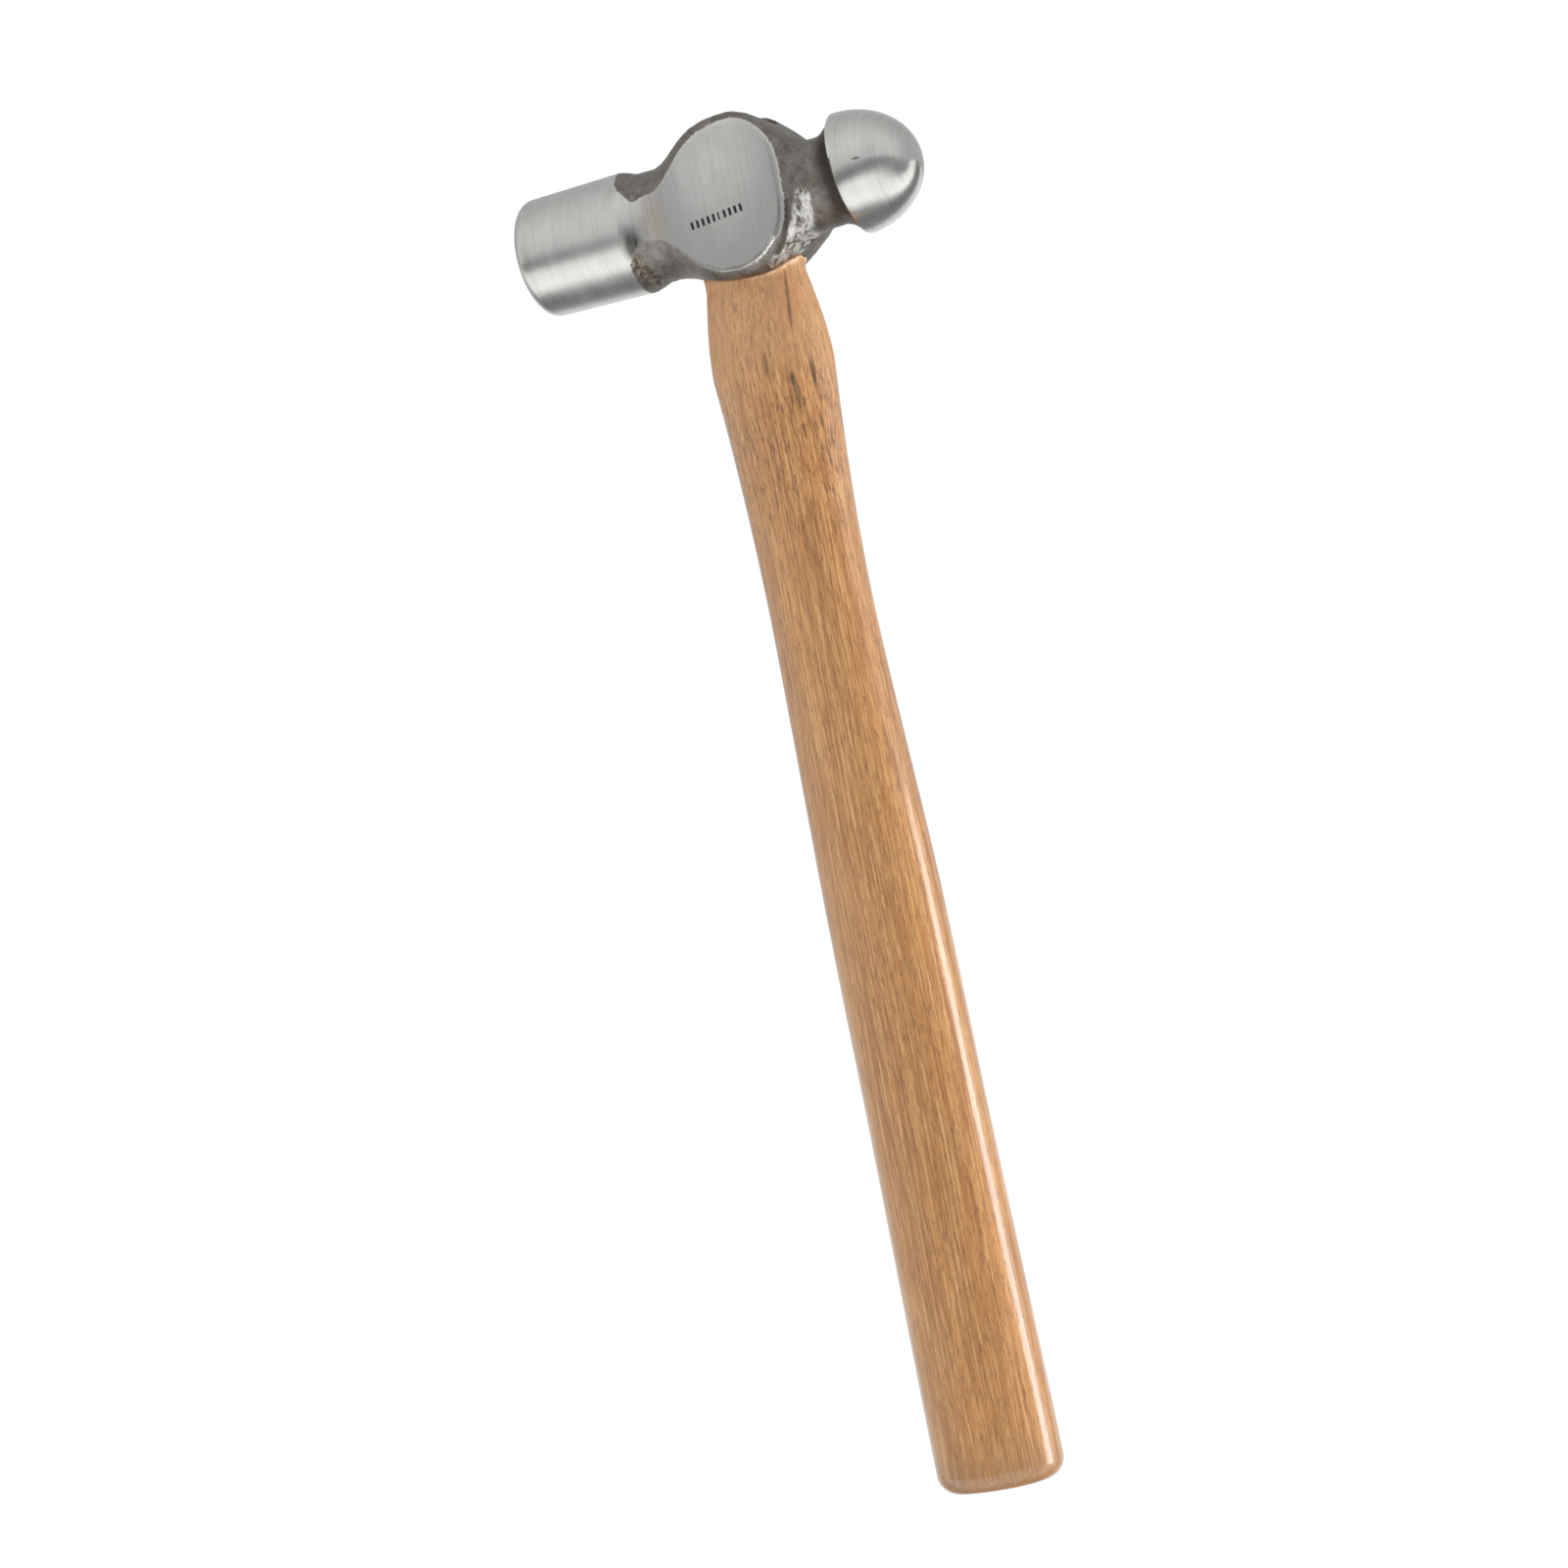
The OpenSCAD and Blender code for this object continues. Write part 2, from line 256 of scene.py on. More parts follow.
def forged_r(x, angle):
    """Radius of the as-forged shoulder, boss, necks and ball flank. angle is from +Z towards +Y."""
    up, out = np.sin(angle), np.abs(np.cos(angle))
    above = (1 + np.clip(up * 2.5, -1, 1)) / 2
    height = np.where(up > 0, head_height(x, BOSS_TOP), head_height(x, BOSS_BOTTOM))
    width = head_width(x, above)
    power = head_squareness(x)
    boss = ((np.abs(up) / height) ** power + (out / width) ** power) ** (-1 / power)
    flank = FLANK_RISE * (np.maximum(x - FLANK_X + 0.7 * np.maximum(up, 0), 0) / FLANK_RUN) ** 2
    crest = POLL_R - 0.12 + 0.42 * np.clip((out - 0.66) / 0.2, 0, 1)
    shoulder = (crest - POLL_NECK_R) * fall((x - shoulder_x(angle)) / SHOULDER_RUN)
    return boss + flank + shoulder


def ground_r(x, angle):
    """Radius of what is ground: each cheek, with its cove up to the poll and its bevel, and the ball."""
    out = np.maximum(np.abs(np.cos(angle)), 1e-6)
    up = CHEEK_REACH * np.sin(angle) / out
    along = np.abs(x / CHEEK_HALF_LENGTH) ** CHEEK_POWER
    across = np.abs((up - CHEEK_MIDDLE_Y) / CHEEK_HALF_HEIGHT) ** CHEEK_POWER
    ring = (along + across) ** (1 / CHEEK_POWER)
    bevel_start = 0.965 + 0.05 * np.clip((up - 4) / 8, 0, 1)
    bevel = BEVEL_SLOPE * np.maximum(ring - bevel_start, 0) * (1 - fall((x - 3) / 7))
    flat = (CHEEK_REACH - np.minimum(bevel, BEVEL_DEPTH)) / out
    climb = np.clip((COVE_X - x) / (COVE_X - shoulder_x(angle)), 0, 1)
    cheek = mix(flat, np.maximum(flat, POLL_R), climb ** 2)
    cheek = np.where(x < POLL_NECK_X, np.minimum(cheek, POLL_R), cheek)
    ball = BALL_R * np.sqrt(1 - np.clip((x - BALL_X) / BALL_NOSE, 0, 1) ** 2)
    return np.where(x < CHEEK_END_X, cheek, ball)


def head_grid():
    """Places along the head of each ring at each angle, and the radius of those that are turned."""
    angle = np.arange(HEAD_ANGLES) * 2 * np.pi / HEAD_ANGLES
    shoulder = shoulder_x(angle)
    flat_r = FACE_R - FACE_EDGE_R
    edge_x = FACE_CROWN + FACE_EDGE_R - FACE_REACH
    places, radii = [], []
    for r in np.linspace(0.5, flat_r, FACE_RINGS):
        places.append(FACE_CROWN * (r / flat_r) ** 2 - FACE_REACH + 0 * angle)
        radii.append(r + 0 * angle)
    for a in np.linspace(0, np.pi / 2, FACE_EDGE_RINGS)[1:]:
        places.append(edge_x - FACE_EDGE_R * math.cos(a) + 0 * angle)
        radii.append(flat_r + FACE_EDGE_R * math.sin(a) + 0 * angle)
    for t in np.linspace(0, 1, POLL_RINGS)[1:]:
        places.append(mix(edge_x, shoulder, t))
        radii.append(mix(FACE_R, POLL_R, t) + 0 * angle)
    turned_poll = len(places)
    for t in np.linspace(0, 1, SHOULDER_RINGS)[1:]:
        places.append(mix(shoulder, POLL_NECK_X, t))
    for x in np.linspace(POLL_NECK_X, BALL_X + 1, FORGED_RINGS)[1:]:
        places.append(x + 0 * angle)
    forged_end = len(places)
    start = math.asin(1 / BALL_NOSE)
    for a in np.linspace(start, np.pi / 2 - 0.02, BALL_RINGS)[1:]:
        places.append(BALL_X + BALL_NOSE * math.sin(a) + 0 * angle)
        radii.append(BALL_R * math.cos(a) + 0 * angle)
    return np.array(places), np.array(radii), angle, turned_poll, forged_end


def snap_to_crease(x, angle, roughness):
    """Moves the vertices beside the edge between forged and ground steel onto it, along their grid lines.

    Returns the places, the angles, which vertices lie on the edge, and how far the forging stood proud
    of the ground surface at each vertex before the move.
    """
    def above_ground(px, pa):
        return forged_r(px, pa) + roughness - ground_r(px, pa)

    level = above_ground(x, angle)
    best = np.full(x.shape, 0.5)
    moved_x, moved_a = x.copy(), angle.copy()
    for axis, step in ((0, 1), (0, -1), (1, 1), (1, -1)):
        next_x, next_a, next_level = (np.roll(v, -step, axis) for v in (x, angle, level))
        turn = next_a - angle
        next_a = angle + (turn + np.pi) % (2 * np.pi) - np.pi
        share = np.abs(level) / np.maximum(np.abs(level) + np.abs(next_level), 1e-9)
        crosses = (level * next_level < 0) & (share < best)
        if axis == 0:
            crosses[-1 if step == 1 else 0] = False
        best = np.where(crosses, share, best)
        moved_x = np.where(crosses, mix(x, next_x, share), moved_x)
        moved_a = np.where(crosses, mix(angle, next_a, share), moved_a)
    return moved_x, moved_a, best < 0.5, level


def torn_share(points):
    """From 0 to 1, how torn each point is: a scar under the ball side and a notch by the poll."""
    x, y, z = points[..., 0], points[..., 1], points[..., 2]
    scar = fall(from_path(x, y, SCAR_PATH) / SCAR_REACH) ** 0.6
    notch = fall(from_path(x, y, NOTCH_PATH) / NOTCH_REACH) ** 0.5
    return np.maximum(scar, notch) * (z > 0)


def groove_share(points):
    """From 0 to 1, how far each point lies in the groove between the near cheek and the scar."""
    x, y, z = points[..., 0], points[..., 1], points[..., 2]
    return fall(from_path(x, y, GROOVE_PATH) / GROOVE_REACH) * (z > 0)


def head_shape():
    """Rings of points over the head, which of them lie on an edge, their share of each finish, and the
    strength of the painted highlight along the edge.
    """
    places, turned, angle, poll_end, forged_end = head_grid()
    angles = np.broadcast_to(angle, places.shape).copy()
    forged = slice(poll_end, forged_end)
    x, a = places[forged], angles[forged]
    r = np.minimum(forged_r(x, a), ground_r(x, a))
    points = np.stack([x, r * np.sin(a), r * np.cos(a)], axis=-1)
    roughness = -0.07 + 0.10 * field_noise(points, 3.0, 1) + 0.05 * field_noise(points, 0.9, 2, 1)
    roughness += torn_share(points) * (0.25 * field_noise(points, 1.3, 3, 3) - 0.1)
    roughness -= 0.35 * groove_share(points)
    settle = fall((x - (BALL_X - 1)) / 1.5) * (1 - fall((x - shoulder_x(a)) / 0.8))
    roughness *= settle
    x, a, on_edge, level = snap_to_crease(x, a, roughness)
    radius = np.zeros(places.shape)
    radius[:poll_end] = turned[:poll_end]
    radius[forged_end:] = turned[poll_end:]
    radius[forged] = np.minimum(forged_r(x, a) + roughness, ground_r(x, a))
    places[forged], angles[forged] = x, a
    ground = np.ones(places.shape)
    ground[forged] = np.where(on_edge | (level > 0), 1, 0)
    edge = np.zeros(places.shape, bool)
    edge[forged] = on_edge
    rings = np.stack([places, radius * np.sin(angles), radius * np.cos(angles)], axis=-1)
    groove = groove_share(rings) * (1 - ground)
    torn = torn_share(rings) * (1 - ground) * (1 - 0.7 * groove)
    # painted highlight along the edge between forged and ground steel, stronger towards the ball and lower
    # down
    painted_highlight_strength = np.clip((rings[..., 0] - 0.3 * rings[..., 1] - 5) / 9, 0.08, 1)
    shares = {"ground": ground, "edge": edge * painted_highlight_strength, "torn": torn, "groove": groove}
    return tilt_ball(rings), edge, shares


def tilt_ball(rings):
    """Turns the ball up a little about its own middle, as the forging has it."""
    x, y = rings[..., 0], rings[..., 1]
    turn = BALL_TILT * (1 - fall((x - 15) / 9))
    along = x - BALL_TILT_X
    turned_x = BALL_TILT_X + along * np.cos(turn) - y * np.sin(turn)
    turned_y = along * np.sin(turn) + y * np.cos(turn)
    limit = TIP_REACH - 0.02
    return np.stack([np.minimum(turned_x, limit), turned_y, rings[..., 2]], axis=-1)


def faces_along_crease(edge):
    """Quads between the head's rings, split where an edge between forged and ground steel crosses them."""
    n, count = edge.shape
    on_edge = edge.ravel()
    faces = []
    for a, b, c, d in ring_faces(n, count):
        if on_edge[a] and on_edge[c] and not (on_edge[b] and on_edge[d]):
            faces += [(a, b, c), (a, c, d)]
        elif on_edge[b] and on_edge[d] and not (on_edge[a] and on_edge[c]):
            faces += [(a, b, d), (b, c, d)]
        else:
            faces.append((a, b, c, d))
    return faces


def build_head():
    rings, edge, shares = head_shape()
    head = skin("hammer_head", rings, faces=faces_along_crease(edge))
    for name, share in shares.items():
        set_attribute(head, name, share)
    cut_away(head, build_eye())
    head.data.set_sharp_from_angle(angle=SHARP_ANGLE)
    head.data.materials.append(head_steel())
    return head


# ---------------------------------------------------------------- handle, in millimetres
MOUTH_HALF = np.array([13.0, 9.0])
EYE_HALF = np.array([12.5, 8.7])
EYE_TOP_HALF = np.array([13.3, 9.7])
BULGE_HALF = np.array([15.5, 11.8])
WAIST_HALF = np.array([13.1, 10.3])
GRIP_HALF = np.array([15.1, 11.7])
BUTT_HALF = np.array([16.0, 12.3])
MOUTH_REACH = 20.0
BULGE_REACH = 42.4
WAIST_REACH = 101.3
GRIP_REACH = 205.7
HANDLE_BOW = 0.5
HANDLE_POWER = 2.2
BUTT_EDGE = 4.2
BUTT_DOME = 1.5
BUTT_FLAT = 0.75
EYE_GAP = 0.22
TENON_DROP = 0.45
TENON_EDGE = 9.7
MOUTH_RINGS = 60
LIP = 0.7
LIP_RUN = 1.4
HANDLE_POINTS = 120
EYE_CUT_REACH = 26
# Dark streaks in the grain, each a centre, its reach each way and its depth of tone
DARK_MARKS = (
    ((2.6, -42, 12), (0.9, 6.5, 5), 0.8),
    ((12.7, -46, 7.4), (0.8, 7, 5), 1.0),
    ((8.6, -50, 10), (0.9, 6.5, 5), 1.0),
    ((8.2, -46.5, 10), (0.8, 2.6, 5), 1.0),
    ((10.3, -26, 9), (0.6, 13, 6), 0.9),
    ((9.8, -57, 9), (0.5, 5, 5), 0.6),
)


def handle_half(y):
    """Half width and half thickness of the handle at each height y."""
    if y > 0:
        return mix(EYE_HALF, EYE_TOP_HALF, y / BOSS_TOP)
    if y > -MOUTH_REACH:
        return mix(EYE_HALF, MOUTH_HALF, 1 - fall(-y / MOUTH_REACH))
    if y > -BULGE_REACH:
        climb = (-MOUTH_REACH - y) / (BULGE_REACH - MOUTH_REACH)
        return mix(MOUTH_HALF, BULGE_HALF, math.sin(math.pi / 2 * climb))
    if y > -WAIST_REACH:
        return mix(WAIST_HALF, BULGE_HALF, ((y + WAIST_REACH) / (WAIST_REACH - BULGE_REACH)) ** 2)
    if y > -GRIP_REACH:
        drop = (-y - WAIST_REACH) / (GRIP_REACH - WAIST_REACH)
        return mix(GRIP_HALF, WAIST_HALF, fall(drop ** 0.8))
    return mix(BUTT_HALF, GRIP_HALF, fall((-y - GRIP_REACH) / (BUTT_REACH - GRIP_REACH)))


def handle_middle(y):
    return -HANDLE_BOW * fall(abs(y + WAIST_REACH) / (WAIST_REACH - BULGE_REACH / 2))


def oval(half, count=HANDLE_POINTS, power=HANDLE_POWER):
    """Points of a closed curve a little squarer than an ellipse, as (along the head, across it)."""
    angle = np.arange(count) * 2 * np.pi / count
    c, s = np.cos(angle), np.sin(angle)
    k = (np.abs(c) ** power + np.abs(s) ** power) ** (-1 / power)
    return np.stack([half[0] * c * k, half[1] * s * k], axis=-1)


def level_ring(y, half):
    flat = oval(half)
    return np.stack([flat[:, 0] + handle_middle(y), np.full(len(flat), y), flat[:, 1]], axis=-1)


def build_eye():
    """The hole through the boss, a little wider than the handle."""
    heights = np.linspace(-EYE_CUT_REACH, EYE_CUT_REACH, 27)
    rings = [level_ring(y, handle_half(y) + EYE_GAP) for y in heights]
    return skin("eye_cutter", rings)


def section_height(x, z, top):
    """Height above or below the head's axis of the forged boss at the place (x, z)."""
    width = head_width(x, 1.0 if top else 0.0)
    power = head_squareness(x)
    peak = head_height(x, BOSS_TOP if top else BOSS_BOTTOM)
    return peak * np.maximum(1 - (np.abs(z) / width) ** power, 0) ** (1 / power)


def with_lip(rings):
    """Raises the frayed lip that the head shaved off the handle; also gives each point's share of it."""
    x, y, z = rings[..., 0], rings[..., 1], rings[..., 2]
    below = -section_height(x, z, False) - y
    around = np.stack([x, 0 * y, z], axis=-1)
    ragged = 0.55 + 0.8 * field_noise(around, 1.8, 5, 3)
    ragged *= 0.35 + 0.65 * fall((12 - x) / 12)
    run = LIP_RUN * (0.6 + 0.6 * ragged)
    share = np.clip(ragged, 0, 1.2) * fall((below - 0.2) / run) * (below > 0.08)
    grow = 1 + LIP * share / np.hypot(x, z)
    return np.stack([x * grow, y, z * grow], axis=-1), share


def handle_rings():
    """Rings from the middle of the butt's dome, up the handle, to the middle of its top."""
    rings = []
    turn_end = BUTT_DOME + BUTT_EDGE - BUTT_REACH
    rim = BUTT_FLAT + (1 - BUTT_FLAT) * np.sin(np.linspace(0, np.pi / 2, 14))
    for share in (0.03, 0.2, 0.4, 0.6, *rim):
        turn = max(0, share - BUTT_FLAT) / (1 - BUTT_FLAT)
        y = BUTT_DOME * share ** 2 + BUTT_EDGE * (1 - math.sqrt(max(0, 1 - turn ** 2))) - BUTT_REACH
        flat = oval(BUTT_HALF * share)
        rings.append(np.stack([flat[:, 0], np.full(len(flat), y), flat[:, 1]], axis=-1))
    below_mouth = -MOUTH_REACH - 5
    long_run = np.linspace(turn_end, below_mouth, 240)
    mouth_run = np.linspace(below_mouth, -12, MOUTH_RINGS)
    for run in (long_run, mouth_run, np.linspace(-12, 12, 10)):
        rings += [level_ring(y, handle_half(y)) for y in run[1:]]
    for share in np.linspace(1, 0.03, 30):
        flat = oval(EYE_TOP_HALF * share)
        rings.append(np.stack([flat[:, 0], end_height(flat), flat[:, 1]], axis=-1))
    return np.array(rings)


def end_height(flat):
    """Height of the handle's sawn end, which stays below the rim of the eye all along it."""
    rim = section_height(flat[:, 0], TENON_EDGE, True)
    return rim - TENON_DROP - 0.5 * np.abs(flat[:, 1]) / TENON_EDGE


def build_handle():
    rings, frayed = with_lip(handle_rings())
    handle = skin("hammer_handle", rings)
    set_attribute(handle, "frayed", frayed)
    for name in WEDGES:
        cut_away(handle, build_wedge(name, SLOT_GAP, SLOT_RISE))
    handle.data.set_sharp_from_angle(angle=SHARP_ANGLE)
    handle.data.materials.append(handle_wood())
    return handle


# ---------------------------------------------------------------- wedges, in millimetres
STEEL_WEDGE = {"half_length": 6.5, "top": 2.6, "tip": 0.4, "depth": 17, "turn": 65}
WEDGES = {
    "wood_wedge": {"half_length": 12.8, "top": 4.8, "tip": 1.0, "depth": 29, "turn": 0, "shift": 0},
    "steel_wedge_poll_side": {**STEEL_WEDGE, "shift": -5.6},
    "steel_wedge_ball_side": {**STEEL_WEDGE, "shift": 5.6},
}
STEEL_PROUD = 0.18
WOOD_PROUD = 0.05
TOP_EDGE = 0.12
WEDGE_POINTS = 88
SLOT_GAP = 0.04
SLOT_RISE = 4.0


def wedge_section(size, thickness, share=1.0):
    """Outline across a wedge, a box with small round corners, as places (along the head, across it)."""
    flat = oval(np.array([size["half_length"], thickness / 2]) * share, WEDGE_POINTS, 9)
    c, s = math.cos(math.radians(size["turn"])), math.sin(math.radians(size["turn"]))
    along = size["shift"] + flat[:, 0] * c - flat[:, 1] * s
    return np.stack([along, flat[:, 0] * s + flat[:, 1] * c], axis=-1)


def build_wedge(name, gap=0.0, rise=0.0):
    """One wedge, from its tip to its battered top. gap and rise make it a cutter for its own slot."""
    size = WEDGES[name]
    steel = size["shift"] != 0
    proud = rise if rise else (STEEL_PROUD if steel else WOOD_PROUD)
    rings = []
    for t in np.linspace(1, 0, 24):
        flat = wedge_section(size, mix(size["top"], size["tip"], t) + 2 * gap)
        top = end_height(flat) + proud - (0 if rise else TOP_EDGE)
        tip = BOSS_TOP - size["depth"] - gap
        rings.append(np.stack([flat[:, 0], mix(top, tip, t), flat[:, 1]], axis=-1))
    for share in (0.985, 0.95, 0.85, 0.7, 0.5, 0.3, 0.1):
        flat = wedge_section(size, size["top"] + 2 * gap, share)
        points = np.stack([flat[:, 0], 0 * flat[:, 0], flat[:, 1]], axis=-1)
        battered = 0.08 * field_noise(points, 1.6, 7) if steel and not rise else 0
        level = end_height(flat) + proud + battered - (0.05 if share > 0.97 and not rise else 0)
        rings.append(np.stack([flat[:, 0], level, flat[:, 1]], axis=-1))
    return skin(name + "_piece", rings)


def build_wedges():
    """The three wedges; each steel one is driven through the wooden one."""
    pieces = {name: build_wedge(name) for name in WEDGES}
    for name in ("steel_wedge_poll_side", "steel_wedge_ball_side"):
        cut_away(pieces["wood_wedge"], build_wedge(name, SLOT_GAP, SLOT_RISE))
    pieces["wood_wedge"].data.materials.append(wedge_wood())
    steel = wedge_steel()
    for name, piece in pieces.items():
        piece.data.set_sharp_from_angle(angle=SHARP_ANGLE)
        if name != "wood_wedge":
            piece.data.materials.append(steel)
    return pieces


# ---------------------------------------------------------------- materials
class Recipe:
    """A material being made. Its methods add shader nodes, so that a material reads as a list of steps."""

    def __init__(self, name):
        self.material = bpy.data.materials.new(name)
        self.material.use_nodes = True
        self.tree = self.material.node_tree
        self.shader = self.tree.nodes["Principled BSDF"]
        here = self.node("ShaderNodeTexCoord").outputs["Object"]
        from_eye = self.vector("SUBTRACT", here, tuple(EYE_CENTRE))
        self.place = self.vector("SCALE", from_eye, scale=1 / MM)
        split = self.node("ShaderNodeSeparateXYZ")
        self.give(split.inputs[0], self.place)
        self.x, self.y, self.z = split.outputs

    def node(self, kind, **settings):
        made = self.tree.nodes.new(kind)
        for name, value in settings.items():
            setattr(made, name, value)
        return made

    def give(self, socket, value):
        """Links or sets a socket; a colour given as three numbers gets its fourth."""
        if isinstance(value, bpy.types.NodeSocket):
            self.tree.links.new(value, socket)
        elif socket.type == "RGBA" and len(value) == 3:
            socket.default_value = (*value, 1)
        else:
            socket.default_value = value

    def maths(self, operation, *values):
        made = self.node("ShaderNodeMath", operation=operation)
        for socket, value in zip(made.inputs, values):
            self.give(socket, value)
        return made.outputs[0]

    def vector(self, operation, *values, scale=None):
        made = self.node("ShaderNodeVectorMath", operation=operation)
        for socket, value in zip(made.inputs, values):
            self.give(socket, value)
        if scale is not None:
            made.inputs["Scale"].default_value = scale
        return made.outputs[0]

    def dot(self, value, direction):
        made = self.node("ShaderNodeVectorMath", operation="DOT_PRODUCT")
        self.give(made.inputs[0], value)
        self.give(made.inputs[1], direction)
        return made.outputs["Value"]

    def attribute(self, name):
        return self.node("ShaderNodeAttribute", attribute_name=name).outputs["Fac"]

    def span(self, value, low, high, to_low=0.0, to_high=1.0):
        """Carries value smoothly from the range low to high onto to_low to to_high, and holds it there."""
        made = self.node("ShaderNodeMapRange", interpolation_type="SMOOTHSTEP")
        for socket, given in zip(made.inputs, (value, low, high, to_low, to_high)):
            self.give(socket, given)
        return made.outputs[0]

    def blend(self, share, first, second, kind="MIX"):
        made = self.node("ShaderNodeMix", data_type="RGBA", blend_type=kind)
        self.give(made.inputs["Factor"], share)
        self.give(made.inputs["A"], first)
        self.give(made.inputs["B"], second)
        return made.outputs["Result"]

    def noise(self, sizes, detail=2.0, roughness=0.5, seed=0):
        """Noise from 0 to 1 whose features are sizes, in millimetres, along X, Y and Z."""
        scaled = self.vector("DIVIDE", self.place, sizes)
        made = self.node("ShaderNodeTexNoise", noise_dimensions="4D")
        self.give(made.inputs["Vector"], scaled)
        made.inputs["W"].default_value = 3.7 * seed
        made.inputs["Scale"].default_value = 1
        made.inputs["Detail"].default_value = detail
        made.inputs["Roughness"].default_value = roughness
        return made.outputs[0]

    def near(self, centre, reach):
        """1 at centre, falling smoothly to 0 at the three distances in reach."""
        away = self.vector("DIVIDE", self.vector("SUBTRACT", self.place, centre), reach)
        made = self.node("ShaderNodeVectorMath", operation="LENGTH")
        self.give(made.inputs[0], away)
        return self.span(made.outputs["Value"], 0.25, 1, 1, 0)

    def bump(self, height, depth, under=None):
        """Bump from a height between 0 and 1, which stands for depth millimetres."""
        made = self.node("ShaderNodeBump")
        made.inputs["Strength"].default_value = 1
        made.inputs["Distance"].default_value = depth * MM
        self.give(made.inputs["Height"], height)
        if under is not None:
            self.give(made.inputs["Normal"], under)
        return made.outputs[0]

    def finish(self, **inputs):
        """Sets the shader's own inputs and returns the material."""
        for name, value in inputs.items():
            self.give(self.shader.inputs[name.replace("_", " ")], value)
        return self.material


INK_START = (-9.2, -5.3)
INK_END = (5.5, -3.8)
INK_PITCH = 1.5
INK_HEIGHT = 1.9
INK_GAP_AT = 0.60
INK_GAP_HALF = 0.55


def ink_marks(m):
    """Share of ink: a plain row of bars on the near cheek, where a batch mark would be printed."""
    along = Vector(INK_END) - Vector(INK_START)
    c, s = along.normalized()
    from_start = m.vector("SUBTRACT", m.place, (*INK_START, 0))
    u = m.dot(from_start, (c, s, 0))
    v = m.dot(from_start, (-s, c, 0))
    bar = m.maths("PINGPONG", u, INK_PITCH / 2)
    printed = m.maths("GREATER_THAN", bar, 0.26 * INK_PITCH)
    limits = (
        (u, 0, along.length),
        (v, 0, INK_HEIGHT),
        (m.z, CHEEK_REACH - 0.5, CHEEK_REACH + 1),
    )
    for value, low, high in limits:
        inside = m.maths("COMPARE", value, (low + high) / 2, (high - low) / 2)
        printed = m.maths("MULTIPLY", printed, inside)
    space = m.maths("COMPARE", u, INK_GAP_AT * along.length, INK_GAP_HALF)
    return m.maths("MULTIPLY", printed, m.maths("SUBTRACT", 1, space))


def ground_tone(m, brushed, streaks, cloud):
    """Colour of the turned and ground steel, with its brushing, scuffs, heat tints and print, and with
    painted shade on the cheek's lower part and in the cove and a painted dark reflection round the face's
    rim.
    """
    tone = m.blend(m.span(cloud, 0.3, 0.7), (0.53, 0.522, 0.502), (0.62, 0.612, 0.595))
    tone = m.blend(m.span(brushed, 0.25, 0.75, 0, 0.5), tone, (0.70, 0.695, 0.68))
    tone = m.blend(m.span(streaks, 0.42, 0.75, 0, 0.26), tone, (0.38, 0.375, 0.36))
    # painted shade: the cheek darkens away from its upper middle, towards its lower part and its ends
    painted_lower_cheek_shade = m.maths("SUBTRACT", 1, m.near((0, 14, 12.5), (19, 29, 26)))
    painted_lower_cheek_shade = m.maths("MULTIPLY", painted_lower_cheek_shade, m.maths("MULTIPLY", m.span(m.x, -23, -15), m.span(m.x, 22, 18)))
    tone = m.blend(m.maths("MULTIPLY", painted_lower_cheek_shade, 0.62), tone, (0.30, 0.297, 0.288))
    # painted shade: a dark patch in the cove between the poll and the near cheek
    painted_cove_shade = m.near((-24.9, -5.4, 13.5), (3.4, 6.0, 8))
    painted_cove_shade = m.maths("MULTIPLY", painted_cove_shade, m.span(streaks, 0.2, 0.6, 0.6, 1))
    tone = m.blend(m.maths("MULTIPLY", painted_cove_shade, 0.95), tone, (0.09, 0.085, 0.078))
    tint = m.near((-18.6, -0.5, 13), (4.2, 9, 6))
    tint = m.maths("MULTIPLY", tint, m.span(streaks, 0.35, 0.6, 0.3, 1))
    tone = m.blend(m.maths("MULTIPLY", tint, 0.6), tone, (0.42, 0.36, 0.28))
    burnt = m.near((29.5, -10.5, 9), (4.5, 4.5, 9))
    burnt = m.maths("MULTIPLY", burnt, m.span(cloud, 0.3, 0.6, 0.5, 1))
    tone = m.blend(m.maths("MULTIPLY", burnt, 0.75), tone, (0.34, 0.20, 0.10))
    pit = m.near((37.4, 0.8, 13), (1.5, 0.5, 8))
    tone = m.blend(m.maths("MULTIPLY", pit, 0.85), tone, (0.10, 0.09, 0.10))
    scuffs = m.span(m.noise((0.9, 0.7, 0.9), 4, 0.7, 4), 0.64, 0.72, 0, 0.5)
    tone = m.blend(scuffs, tone, (0.84, 0.83, 0.81))
    nicks = m.span(m.noise((0.5, 0.9, 0.5), 3, 0.7, 12), 0.68, 0.74, 0, 0.5)
    tone = m.blend(nicks, tone, (0.25, 0.245, 0.235))
    from_axis = m.maths("SQRT", m.maths("MULTIPLY_ADD", m.y, m.y, m.maths("MULTIPLY", m.z, m.z)))
    # painted reflection: a dark ring round the striking face's rounded edge
    near_face = m.span(m.x, 1.7 - FACE_REACH, 0.5 - FACE_REACH, 0, 0.6)
    painted_dark_face_rim = m.maths("MULTIPLY", near_face, m.span(from_axis, 12, 14))
    tone = m.blend(painted_dark_face_rim, tone, (0.17, 0.165, 0.16))
    return m.blend(m.maths("MULTIPLY", ink_marks(m), 0.94), tone, (0.012, 0.012, 0.012))


